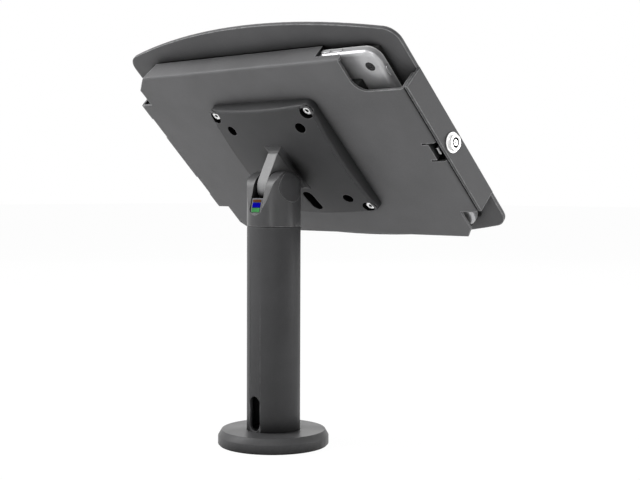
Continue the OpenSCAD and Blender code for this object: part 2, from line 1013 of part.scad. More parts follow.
module tablet_display() {
    color(screen_black)
        at_tablet()
            translate([0, 0, glass_n - display_t])
                linear_extrude(display_t)
                    square(2 * display_half, center = true);
}

module rear_camera() {
    color(screen_black)
        at_tablet()
            translate([camera_at[0], camera_at[1], back_n - camera_proud])
                cylinder(h = 1.6 + camera_proud, r = camera_r);
}

module front_camera() {
    color(screen_black)
        at_tablet()
            translate([front_camera_u, 0, glass_n - 0.5])
                cylinder(h = 0.5, r = front_camera_r);
}

module home_button() {
    color(white_glass)
        at_tablet()
            translate([home_u, 0, glass_n - glass_t - 0.9])
                cylinder(h = glass_t + 0.7, r = home_r);
}

// A button on the tablet's edge, lying along the edge at its own place
module edge_button(u, v, turn) {
    color(silver)
        at_tablet()
            translate([u, v, button_n])
                rotate([0, 0, turn])
                    span(
                        [-button_l / 2, -button_depth / 2, -button_t / 2],
                        [button_l / 2, button_proud, button_t / 2]
                    );
}

// The bezel's outline: straight ends, bowed long edges, round corners tangent to both
module bowed_outline() {
    bow_centre = bow_r - bezel_half_v;
    corner_u = bezel_half_u - bezel_corner_r;
    corner_v = sqrt(pow(bow_r - bezel_corner_r, 2) - pow(corner_u, 2)) - bow_centre;
    touch_u = corner_u * bow_r / (bow_r - bezel_corner_r);
    square([2 * bezel_half_u, 2 * corner_v], center = true);
    intersection() {
        square([2 * touch_u, 2 * bezel_half_v + 2], center = true);
        translate([0, -bow_centre])
            circle(bow_r, $fn = 720);
        translate([0, bow_centre])
            circle(bow_r, $fn = 720);
    }
    for (u = [-1, 1], v = [-1, 1])
        translate([u * corner_u, v * corner_v])
            circle(bezel_corner_r);
}

// The strip bent back from the bezel's end to carry the lock
module bezel_flange() {
    difference() {
        span(
            [-flange_out, flange_low_v, flange_n],
            [-flange_in, flange_low_v + flange_l, face_n]
        );
        translate([-flange_out, flange_low_v - 1, face_n])
            mirror([0, 0, 1])
                mirror([1, 0, 0])
                    rotate([0, 0, 90])
                        fold_round(flange_l + 2);
    }
}

// The two tongues that reach down behind the hook slots
module bezel_tongues() {
    tongue_u = wing_far - sheet_t - tongue_gap;
    for (v = [-hook_v, hook_v])
        translate([tongue_u - tongue_t, v, bezel_n])
            rotate([90, 0, 90])
                linear_extrude(tongue_t) {
                    translate([0, -tongue_l + tongue_w / 4])
                        round_rect([tongue_w, tongue_w / 2], tongue_t);
                    translate([-tongue_w / 2, -tongue_l + tongue_w / 4])
                        square([tongue_w, tongue_l - tongue_w / 4 + 1]);
                }
}

module window_outline(grow) {
    square(2 * (display_half + [window_gap + grow, window_gap + grow]), center = true);
}

module front_bezel() {
    color(powder)
        difference() {
            tilted() {
                translate([0, 0, bezel_n])
                    linear_extrude(bezel_t)
                        bowed_outline();
                bezel_flange();
                bezel_tongues();
            }
            at_tablet() {
                hull() {
                    translate([0, 0, bezel_n - 1])
                        linear_extrude(tiny)
                            window_outline(0);
                    translate([0, 0, face_n - window_bevel])
                        linear_extrude(tiny)
                            window_outline(0);
                    translate([0, 0, face_n + tiny])
                        linear_extrude(tiny)
                            window_outline(window_bevel);
                }
                translate([home_u, 0, bezel_n - 1])
                    cylinder(h = bezel_t + 2, r = home_hole_r);
                translate([front_camera_u, 0, bezel_n - 1])
                    cylinder(h = bezel_t + 2, r = camera_hole_r);
            }
            at_lock(flange_in - 1)
                cylinder(h = flange_t + 2, r = flange_hole_r);
        }
}

module bezel_gasket() {
    height = bezel_n - glass_n - soft_gap;
    color(black_rubber)
        at_tablet()
            translate([0, 0, bezel_n - height])
                difference() {
                    linear_extrude(height)
                        difference() {
                            square([tablet_l - 2, tablet_w - 2 * gasket_edge_v], center = true);
                            window_outline(gasket_over - window_gap);
                        }
                    translate([home_u, 0, -1])
                        cylinder(h = height + 2, r = home_hole_r + gasket_ring);
                    translate([front_camera_u, 0, -1])
                        cylinder(h = height + 2, r = camera_hole_r + gasket_ring);
                }
}

module lock_barrel() {
    color(bright)
        at_lock(0)
            difference() {
                union() {
                    translate([0, 0, barrel_end_u])
                        cylinder(h = flange_out - barrel_end_u + head_t / 2, r = barrel_r);
                    translate([0, 0, flange_out])
                        cylinder(h = head_t, r = lock_head_r);
                    translate([0, 0, flange_out])
                        cylinder(h = lock_face_u - flange_out, r = lock_drum_r);
                }
                translate([0, 0, barrel_end_u - 1])
                    cylinder(h = flange_out, r = plug_core_r + bore_gap);
                translate([0, 0, lock_face_u - keyway_depth])
                    cylinder(h = keyway_depth + 1, r = lock_keyway_r);
                translate([0, -key_notch / 2, lock_face_u - keyway_depth])
                    cube([lock_keyway_r + key_notch / 2, key_notch, keyway_depth + 1]);
            }
}

module lock_nut() {
    color(steel)
        at_lock(flange_in - lock_nut_t)
            difference() {
                cylinder(h = lock_nut_t, r = lock_nut_r, $fn = 6);
                translate([0, 0, -1])
                    cylinder(h = lock_nut_t + 2, r = barrel_r + tiny);
            }
}

// The turning plug: its core, and the post in the middle of the ring-shaped keyway
module lock_plug() {
    core_top = lock_face_u - keyway_depth;
    post_r = lock_keyway_r - keyway_w;
    color(bright)
        at_lock(0)
            difference() {
                union() {
                    translate([0, 0, cam_u - cam_t])
                        cylinder(h = core_top - cam_u + cam_t, r = plug_core_r);
                    translate([0, 0, core_top - 1])
                        cylinder(h = keyway_depth + 0.9, r = post_r);
                }
                translate([post_r - key_notch, -key_notch / 2, core_top + key_notch])
                    cube([post_r, key_notch, keyway_depth]);
            }
}

module lock_cam() {
    color(bright)
        at_lock(cam_u - cam_t)
            difference() {
                union() {
                    cylinder(h = cam_t, r = cam_hub_r);
                    translate([-cam_reach, -cam_half_w, 0])
                        cube([cam_reach, 2 * cam_half_w, cam_t]);
                }
                translate([0, 0, -1])
                    cylinder(h = cam_t + 2, r = plug_core_r + tiny);
            }
}

module cam_screw() {
    color(steel)
        at_lock(cam_u - cam_t - cam_screw_t)
            cylinder(h = cam_screw_t, r = cam_screw_r);
}

foot_pad();
base_disc();
pole_tube();
pole_anchor();
anchor_screws();
swivel_bush();
swivel_head();
swivel_shaft();
shaft_nut();
pivot_pin();
pivot_cap(180);  // pivot_cap_lock_side
pivot_cap(0);  // pivot_cap_far_side
friction_washers();
slot_insert();
insert_band(green, green_band);  // insert_band_green
insert_band(blue, blue_band);  // insert_band_blue
insert_band(amber, amber_band);  // insert_band_amber
tilt_arm();
arm_screws();
mounting_plate();
mounting_screws();
tray();
clinch_nuts();
catch_stud();
tablet_pads();
side_pads();
tablet_shell();
tablet_glass();
tablet_display();
rear_camera();
front_camera();
home_button();
edge_button(-tablet_end, power_v, 90);  // power_button
edge_button(volume_up_u, tablet_edge, 0);  // volume_up_button
edge_button(volume_down_u, tablet_edge, 0);  // volume_down_button
front_bezel();
bezel_gasket();
lock_barrel();
lock_nut();
lock_plug();
lock_cam();
cam_screw();
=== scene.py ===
"""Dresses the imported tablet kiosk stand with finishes, fine forms, a camera and soft studio light.

Lengths are millimetres inside the classes and metres in Blender. Pieces of the enclosure are drawn
in the tilting frame of the CAD source: u along +X, v up the tablet, n out of its screen, with the
origin on the tilt pivot.
"""

import logging
import math
from collections.abc import Callable, Iterable, Sequence
from dataclasses import dataclass
from enum import Enum

import bmesh
import bpy
from mathutils import Matrix, Vector

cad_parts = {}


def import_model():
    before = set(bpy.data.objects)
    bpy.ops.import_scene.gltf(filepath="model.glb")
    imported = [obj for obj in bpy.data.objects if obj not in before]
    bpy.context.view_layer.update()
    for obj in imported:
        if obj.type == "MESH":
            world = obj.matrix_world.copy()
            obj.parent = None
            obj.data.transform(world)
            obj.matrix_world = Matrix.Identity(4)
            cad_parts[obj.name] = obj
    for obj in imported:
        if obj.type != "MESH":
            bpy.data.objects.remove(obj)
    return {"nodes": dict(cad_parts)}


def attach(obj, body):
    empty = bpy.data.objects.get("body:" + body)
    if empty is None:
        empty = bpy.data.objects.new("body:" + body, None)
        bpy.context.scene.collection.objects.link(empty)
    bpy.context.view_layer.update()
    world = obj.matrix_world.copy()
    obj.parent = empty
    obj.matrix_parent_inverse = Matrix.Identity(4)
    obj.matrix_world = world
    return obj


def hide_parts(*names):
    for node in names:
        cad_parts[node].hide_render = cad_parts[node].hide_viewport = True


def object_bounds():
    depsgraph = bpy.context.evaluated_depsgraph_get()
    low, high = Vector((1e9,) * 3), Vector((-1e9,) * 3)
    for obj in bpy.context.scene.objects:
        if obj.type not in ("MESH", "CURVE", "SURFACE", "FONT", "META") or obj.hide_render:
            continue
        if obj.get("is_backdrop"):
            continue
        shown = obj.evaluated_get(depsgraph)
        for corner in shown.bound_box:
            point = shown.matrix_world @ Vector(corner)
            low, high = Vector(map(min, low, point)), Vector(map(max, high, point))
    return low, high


log = logging.getLogger("kiosk_stand")

MM = 0.001
TILT = math.radians(44.6)
PIVOT_Z = 200.0
CORNERS = ((1, 1), (-1, 1), (-1, -1), (1, -1))
# Number of points round an outline, and round the lock's
ROUND_STEPS = 72
LOCK_STEPS = 96
# Distances within which points are one point, and within which places count as the same
WELD = 1e-4
SLACK = 0.01

Point = tuple[float, float]
Triple = tuple[float, float, float]
Colour = Triple
Tree = bpy.types.NodeTree
Socket = bpy.types.NodeSocket

# Colour of the shade painted into nooks, creases and holes
PAINTED_SHADE_BLACK: Colour = (0.004, 0.004, 0.004)
# Rays that a point sends out to find the nooks where shade is painted, and rounded edges
PROBES = 6
# Share of open sky at which the painted shade in a nook is full, and at which a face is open and
# unshaded
NOOK_SKY = (0.32, 0.85)
# Likeness of the plain and the rounded normal where the edges' wear and painted highlight start, and
# where they are full
WEAR_HIGHLIGHT_LIKENESS = (0.99, 0.90)
WEAR_HIGHLIGHT_STRENGTH = 0.8
# Share of the powder's bright specks at the noise's low and high end, and their brightness
SPECK_SHARES = (-0.2, 0.35)
SPECK_LIGHT = 1.35


class Body(Enum):
    """The CAD bodies that new pieces ride on."""

    STAND = "stand"
    HEAD = "head"
    CARRIER = "carrier"
    TABLET = "tablet"
    BEZEL = "bezel"
    LOCK = "lock"
    HOME = "home"
    POWER = "power"
    VOLUME_UP = "volume_up"
    VOLUME_DOWN = "volume_down"


@dataclass(frozen=True)
class Grain:
    """Fine texture of a finish: sizes in millimetres, the rest as shares of one.

    Attributes:
        size: Width of the finest bumps.
        bump: Their strength.
        cloud: Width of the slow change in tone and gloss.
        tone: How much the tone changes.
        gloss: How much the roughness changes.
        stretch: How many times longer the bumps are along X.
    """

    size: float
    bump: float
    cloud: float
    tone: float
    gloss: float
    stretch: float = 1.0


POWDER = Grain(0.55, 0.16, 34.0, 0.10, 0.05)
BRUSHED = Grain(0.25, 0.10, 9.0, 0.14, 0.08, 14.0)
PLATED = Grain(0.30, 0.03, 5.0, 0.06, 0.05, 4.0)
BLASTED = Grain(0.12, 0.06, 26.0, 0.04, 0.04)
ELASTIC = Grain(0.40, 0.35, 14.0, 0.18, 0.06)
PLASTIC = Grain(0.28, 0.10, 7.0, 0.08, 0.06)
GLOSS = Grain(12.0, 0.004, 22.0, 0.03, 0.02)


def feed(tree: Tree, socket: Socket, value: object) -> None:
    """Joins an input to an output, or sets its value.

    Args:
        tree: The node tree.
        socket: The input.
        value: The output, or a number, a vector or a colour without alpha.
    """
    if isinstance(value, Socket):
        tree.links.new(value, socket)
    elif socket.type == "RGBA":
        socket.default_value = (*value, 1)
    else:
        socket.default_value = value


def operate(tree: Tree, kind: str, operation: str, *values: object) -> Socket:
    """Adds a node that works a number out from its inputs.

    Args:
        tree: The node tree.
        kind: Blender's name for the node.
        operation: What it works out.
        *values: What to feed to its inputs.

    Returns:
        The number.
    """
    node = tree.nodes.new(kind)
    node.operation = operation
    for socket, value in zip(node.inputs, values):
        feed(tree, socket, value)
    return node.outputs["Value"]


class Board:
    """A material's node tree, with short calls to add and join its nodes."""

    def __init__(self, name: str) -> None:
        """Makes the material and keeps its shader.

        Args:
            name: Name of the new material.
        """
        self.material = bpy.data.materials.new(name)
        self.material.use_nodes = True
        self.tree = self.material.node_tree
        self.shader = self.tree.nodes["Principled BSDF"]
        self.place = self.add("ShaderNodeTexCoord").outputs["Object"]

    def add(self, kind: str, **inputs: object) -> bpy.types.Node:
        """Adds a node and sets its inputs.

        Args:
            kind: Blender's name for the node.
            **inputs: What to feed to each input.

        Returns:
            The new node.
        """
        node = self.tree.nodes.new(kind)
        for key, value in inputs.items():
            feed(self.tree, node.inputs[key], value)
        return node

    def shade(self, inputs: dict[str, object]) -> None:
        """Sets inputs of the shader.

        Args:
            inputs: What to feed to each of them.
        """
        for name, value in inputs.items():
            feed(self.tree, self.shader.inputs[name], value)

    def noise(self, size: float, detail: float, stretch: float = 1.0) -> Socket:
        """Adds a noise, fixed to the object.

        Args:
            size: Width of its grain in millimetres.
            detail: Number of finer layers.
            stretch: How many times longer the grain is along X.

        Returns:
            The noise's value.
        """
        place = self.add("ShaderNodeMapping", Vector=self.place, Scale=(1 / stretch, 1, 1))
        return self.add(
            "ShaderNodeTexNoise", Vector=place.outputs[0], Scale=1 / (size * MM), Detail=detail
        ).outputs[0]

    def spread(self, value: Socket, low: float, high: float) -> Socket:
        """Maps a noise's usual range onto another range.

        Args:
            value: The noise.
            low: What its low end becomes.
            high: What its high end becomes.

        Returns:
            The mapped value.
        """
        return self.ramp(value, 0.3, 0.7, low, high)

    def ramp(self, value: Socket, start: float, end: float, low: float, high: float) -> Socket:
        """Maps a range of values onto another and holds its ends.

        Args:
            value: The value.
            start: Where its range starts.
            end: Where it ends.
            low: What the start becomes.
            high: What the end becomes.

        Returns:
            The mapped value.
        """
        return self.add("ShaderNodeMapRange", **{
            "Value": value, "From Min": start, "From Max": end, "To Min": low, "To Max": high,
        }).outputs[0]

    def mix(self, share: Socket, first: Colour | Socket, second: Colour | Socket) -> Socket:
        """Mixes two colours, each of them plain or from a socket.

        Args:
            share: How much of the second colour there is.
            first: The first colour.
            second: The second colour.

        Returns:
            The mixed colour.
        """
        node = self.tree.nodes.new("ShaderNodeMix")
        node.data_type = "RGBA"
        for index, value in ((0, share), (6, first), (7, second)):
            feed(self.tree, node.inputs[index], value)
        return node.outputs[2]


@dataclass(frozen=True)
class Finish:
    """One material of the object.

    Attributes:
        name: Name of the material, and of the record's slot unless that is given.
        grain: Its fine texture.
        colour: Linear base colour.
        rough: Middle of its roughness.
        metallic: One for bare metal.
        coat: Weight of a clear layer.
        specular: Strength of its gloss.
        wear_and_highlight: Tone of edges lightened both as rubbed wear and as a painted highlight,
            or None.
        round: Radius in millimetres to which sharp edges look rounded.
        nook_size: Width in millimetres of the nooks into which a darker colour is painted as shade.
        fade: Where along the tilt frame's n the painted lighter tone passes into the stand's coat.
        slot: The record's slot, if its name is another.
    """

    name: str
    grain: Grain
    colour: Colour
    rough: float
    metallic: float = 0.0
    coat: float = 0.0
    specular: float = 0.5
    wear_and_highlight: Colour | None = None
    round: float = 0.0
    nook_size: float = 16.0
    fade: Point | None = None
    slot: str = ""

    @property
    def record_slot(self) -> str:
        """Gives the record's material slot.

        Returns:
            Its name.
        """
        return self.slot or self.name

    def material(self) -> bpy.types.Material:
        """Gives the material, and makes it the first time.

        Returns:
            The material.
        """
        name = f"finish_{self.name}"
        made = bpy.data.materials.get(name)
        if made:
            return made
        grain = self.grain
        board = Board(name)
        cloud = board.noise(grain.cloud, 3)
        fine = board.noise(grain.size, 2, grain.stretch)
        dark = tuple(c * (1 - grain.tone) for c in self.colour)
        light = tuple(min(c * (1 + grain.tone), 1) for c in self.colour)
        colour = board.mix(board.spread(cloud, 0, 1), dark, light)
        if grain is POWDER:
            speck = board.spread(fine, *SPECK_SHARES)
            colour = board.mix(speck, colour, tuple(c * SPECK_LIGHT for c in self.colour))
        if self.round:
            soft = board.add("ShaderNodeBevel", Radius=self.round * MM)
            soft.samples = PROBES
            # Sharp edges are lightened: partly rubbed wear, partly a painted highlight
            if self.wear_and_highlight:
                colour = board.mix(self.edge(board, soft), colour, self.wear_and_highlight)
        # The arm's painted lit tone passes into the stand's darker coat at its root
        if self.fade:
            # n of a point, but for the pivot's, which is added to the ends of the fade
            axis = (0, -math.sin(TILT) / MM, math.cos(TILT) / MM)
            along = operate(board.tree, "ShaderNodeVectorMath", "DOT_PRODUCT", board.place, axis)
            ends = (n + PIVOT_Z * math.cos(TILT) for n in self.fade)
            colour = board.mix(board.ramp(along, *ends, 0, 1), colour, COAT.colour)
        rise = grain.size * MM / 3
        bump = board.add("ShaderNodeBump", Strength=grain.bump, Distance=rise, Height=fine)
        if self.round:
            feed(board.tree, bump.inputs["Normal"], soft.outputs[0])
        board.shade({
            # The base colour darkens towards black in nooks: painted shade
            "Base Color": board.mix(self.nook(board), PAINTED_SHADE_BLACK, colour),
            "Roughness": board.spread(cloud, self.rough - grain.gloss, self.rough + grain.gloss),
            "Normal": bump.outputs[0],
            "Metallic": self.metallic,
            "Coat Weight": self.coat,
            "Specular IOR Level": self.specular,
        })
        board.material.diffuse_color = (*self.colour, 1)
        return board.material

    def nook(self, board: Board) -> Socket:
        """Paints shade into nooks: measures the open sky round a point, so that its colour darkens
        where little is open.

        Args:
            board: The material's node tree.

        Returns:
            One on open faces, falling to nothing deep in a nook.
        """
        open_sky = board.add("ShaderNodeAmbientOcclusion", Distance=self.nook_size * MM)
        open_sky.samples = PROBES
        return board.ramp(open_sky.outputs["AO"], *NOOK_SKY, 0, 1)

    @staticmethod
    def edge(board: Board, soft: bpy.types.Node) -> Socket:
        """Finds the strip along sharp edges that is lightened, partly as wear from handling and
        partly as a painted highlight.

        Args:
            board: The material's node tree.
            soft: The node that gives the rounded normal.

        Returns:
            A mask that is high on such an edge, broken up by noise.
        """
        plain = board.add("ShaderNodeNewGeometry").outputs["Normal"]
        normals = (soft.outputs[0], plain)
        likeness = operate(board.tree, "ShaderNodeVectorMath", "DOT_PRODUCT", *normals)
        strip = board.ramp(likeness, *WEAR_HIGHLIGHT_LIKENESS, 0, WEAR_HIGHLIGHT_STRENGTH)
        patches = board.spread(board.noise(6, 4), 0.35, 1)
        return operate(board.tree, "ShaderNodeMath", "MULTIPLY", strip, patches)


# The coats below are one powder coat. The tray is painted about twice as light as the pole and
# plate, the bezel a little darker than the tray, and the head and base a little lighter, to stand in
# for how light falls on each piece: painted lit and shaded copies of one coat. Their nook sizes set
# how far painted shade reaches, wider round the plate on the tray and on the head's top.
COAT = Finish(
    "powder_coat", POWDER, (0.070, 0.070, 0.072), 0.46, specular=0.12,
    wear_and_highlight=(0.32, 0.32, 0.325), round=0.8,
)
HEAD_COAT = Finish(
    "powder_coat_head", POWDER, (0.078, 0.078, 0.080), 0.33, specular=0.3,
    wear_and_highlight=(0.60, 0.60, 0.61), round=0.6, nook_size=32, slot="powder_coat",
)
BASE_COAT = Finish(
    "powder_coat_base", POWDER, (0.082, 0.082, 0.084), 0.38, specular=0.18,
    wear_and_highlight=(0.20, 0.20, 0.205), round=0.4, slot="powder_coat",
)
TRAY_COAT = Finish(
    "powder_coat_tray", POWDER, (0.156, 0.156, 0.159), 0.48, specular=0.15,
    wear_and_highlight=(0.75, 0.75, 0.76), round=1.3, nook_size=26, slot="powder_coat",
)
BEZEL_COAT = Finish(
    "powder_coat_bezel", POWDER, (0.122, 0.122, 0.125), 0.48, specular=0.15,
    wear_and_highlight=(0.70, 0.70, 0.71), round=1.3, slot="powder_coat",
)
# The arm is the stand's powder coat painted lighter, standing in for the light that catches its back
# edge: a painted lit copy, which passes into the stand's coat at the root
LIT_ARM_COAT = Finish(
    "powder_coat_arm", POWDER, (0.27, 0.27, 0.273), 0.42, specular=0.2,
    wear_and_highlight=(0.4, 0.4, 0.41), round=0.7, nook_size=14, fade=(17.2, 18.2),
)
# Near-black painted shade for the walls of holes and the lock's keyway, where only shade falls
SHADE = Finish("hole_shade", PLASTIC, (0.008, 0.008, 0.008), 0.8, specular=0)
RUBBER = Finish("rubber", ELASTIC, (0.018, 0.018, 0.018), 0.82, specular=0.3)
STEEL = Finish("steel", BRUSHED, (0.52, 0.52, 0.53), 0.34, metallic=1)
BRIGHT = Finish("bright_steel", PLATED, (0.93, 0.93, 0.93), 0.30, metallic=1, nook_size=3)
NICKEL = Finish(
    "bright_nickel", PLATED, (0.97, 0.97, 0.96), 0.40, metallic=1, nook_size=1.2,
    slot="bright_steel",
)
NYLON = Finish("nylon", PLASTIC, (0.022, 0.022, 0.023), 0.55)
PALE = Finish("insert_pale", PLASTIC, (0.20, 0.20, 0.21), 0.6, specular=0, nook_size=4)
GREEN = Finish("insert_green", PLASTIC, (0.07, 0.28, 0.09), 0.6, specular=0, nook_size=2)
BLUE = Finish("insert_blue", PLASTIC, (0.004, 0.003, 0.33), 0.6, specular=0, nook_size=2)
AMBER = Finish("insert_amber", PLASTIC, (0.14, 0.05, 0.02), 0.6, specular=0, nook_size=2)
SILVER = Finish("silver", BLASTED, (0.58, 0.58, 0.59), 0.34, metallic=0.45, nook_size=2)
WHITE = Finish("white_glass", GLOSS, (0.80, 0.80, 0.80), 0.10, coat=0.6, nook_size=1)
LENS = Finish(
    "camera_glass", GLOSS, (0.004, 0.004, 0.005), 0.15, specular=0.25, slot="screen"
)
SCREEN = Finish("screen", GLOSS, (0.006, 0.006, 0.008), 0.07, coat=1.0)

NODE_FINISHES: dict[Finish, tuple[str, ...]] = {
    COAT: ("pole_tube", "mounting_plate", "pivot_cap_lock_side", "pivot_cap_far_side"),
    HEAD_COAT: ("swivel_head",),
    BASE_COAT: ("base_disc",),
    TRAY_COAT: ("tray",),
    BEZEL_COAT: ("front_bezel",),
    LIT_ARM_COAT: ("tilt_arm",),
    RUBBER: ("foot_pad", "tablet_pads", "side_pads", "bezel_gasket"),
    STEEL: (
        "pole_anchor", "anchor_screws", "swivel_shaft", "shaft_nut", "pivot_pin",
        "friction_washers", "arm_screws", "clinch_nuts", "catch_stud", "lock_nut", "cam_screw",
    ),
    NYLON: ("swivel_bush",),
    BRIGHT: ("mounting_screws", "lock_barrel", "lock_plug", "lock_cam"),
    PALE: ("slot_insert",),
    GREEN: ("insert_band_green",),
    BLUE: ("insert_band_blue",),
    AMBER: ("insert_band_amber",),
    SILVER: ("tablet_shell", "power_button", "volume_up_button", "volume_down_button"),
    WHITE: ("tablet_glass", "home_button"),
    SCREEN: ("tablet_display", "rear_camera", "front_camera"),
}

# Rounding of each carried-over node's sharp edges, in millimetres
NODE_ROUNDS: dict[str, float] = {"base_disc": 0.25, "pole_tube": 0.3, "foot_pad": 0.2}


def soften(piece: bpy.types.Object, width: float) -> None:
    """Rounds a piece's sharp edges and keeps its broad faces flat in the light.

    Args:
        piece: The mesh object.
        width: Width of the rounding in millimetres.
    """
    weld = piece.modifiers.new("weld", "WELD")
    weld.merge_threshold = 1e-6
    bevel = piece.modifiers.new("round", "BEVEL")
    bevel.width = width * MM
    bevel.segments = 3
    bevel.limit_method = "ANGLE"
    bevel.angle_limit = math.radians(28)
    bevel.use_clamp_overlap = False
    bevel.harden_normals = True


def dress_nodes(nodes: dict[str, bpy.types.Object]) -> None:
    """Gives every carried-over CAD node its finish and its rounded edges.

    Args:
        nodes: The frame's nodes by name.
    """
    for finish, names in NODE_FINISHES.items():
        for name in names:
            node = nodes[name]
            node.data.materials.clear()
            node.data.materials.append(finish.material())
            if name in NODE_ROUNDS:
                soften(node, NODE_ROUNDS[name])
            finish.record_slot
            log.info("dressed %s in %s", name, finish.name)


def polar(reach: Callable[[float], float], steps: int = ROUND_STEPS) -> list[Point]:
    """Draws an outline round the origin.

    Args:
        reach: Gives the distance from the origin at an angle.
        steps: Number of points.

    Returns:
        The points, anticlockwise.
    """
    turns = (2 * math.pi * i / steps for i in range(steps))
    return [(reach(a) * math.cos(a), reach(a) * math.sin(a)) for a in turns]


def circle(radius: float, steps: int = ROUND_STEPS) -> list[Point]:
    """Draws a circle.

    Args:
        radius: Its radius.
        steps: Number of points.

    Returns:
        The points.
    """
    return polar(lambda a: radius, steps)


def hexagon(corner: float, limit: float = math.inf) -> list[Point]:
    """Draws a hexagon whose corners may be turned down.

    Args:
        corner: Distance from the centre to a corner.
        limit: Radius to which they are turned down.

    Returns:
        The points.
    """
    flat = corner * math.cos(math.pi / 6)
    return polar(lambda a: min(limit, flat / math.cos((a % (math.pi / 3)) - math.pi / 6)))


@dataclass(frozen=True)
class Rim:
    """A box outline with round corners: an obround if its core is a line, a circle if a point.

    Attributes:
        centre: Middle of the outline.
        core: Half lengths of its straight sides.
        radius: Its corners' radius.
    """

    centre: Point
    core: Point
    radius: float

    def nearest(self, spot: Vector) -> Vector:
        """Finds the core's nearest point.

        Args:
            spot: The point that it is nearest to.

        Returns:
            Its place in plan.
        """
        return Vector(
            tuple(c + max(-h, min(h, p - c)) for c, h, p in zip(self.centre, self.core, spot))
        )

    def reach(self, spot: Vector) -> float:
        """Measures how far a point is from the core.

        Args:
            spot: The point.

        Returns:
            The distance in plan.
        """
        return (spot.xy - self.nearest(spot)).length

    def shift(self, spot: Vector, extra: float) -> Vector:
        """Moves a point onto the outline.

        Args:
            spot: The point.
            extra: How much larger than the plain outline it is.

        Returns:
            The point's new place in plan.
        """
        core = self.nearest(spot)
        return core + (spot.xy - core).normalized() * (self.radius + extra)

    def points(self, extra: float = 0.0, steps: int = 12) -> list[Point]:
        """Draws the outline.

        Args:
            extra: How much larger than the plain outline it is.
            steps: Number of points round each corner.

        Returns:
            The outline's points, anticlockwise.
        """
        reach = self.radius + extra
        drawn = [
            (
                self.centre[0] + sx * self.core[0] + reach * math.cos(turn),
                self.centre[1] + sy * self.core[1] + reach * math.sin(turn),
            )
            for corner, (sx, sy) in enumerate(CORNERS)
            for turn in (math.pi / 2 * (corner + i / (steps - 1)) for i in range(steps))
        ]
        return [p for i, p in enumerate(drawn) if math.dist(p, drawn[i - 1]) > 1e-6]


def put(name: str, data: bpy.types.ID) -> bpy.types.Object:
    """Puts a new object into the scene.

    Args:
        name: Its name.
        data: Its mesh, lamp or camera.

    Returns:
        The object.
    """
    item = bpy.data.objects.new(name, data)
    bpy.context.scene.collection.objects.link(item)
    return item


def put_mesh(name: str, mesh: bmesh.types.BMesh) -> bpy.types.Object:
    """Puts a mesh in the making into the scene.

    Args:
        name: Name of the new object.
        mesh: The mesh.

    Returns:
        The object.
    """
    data = bpy.data.meshes.new(name)
    mesh.to_mesh(data)
    return put(name, data)


Ring = tuple[list[Point], float]


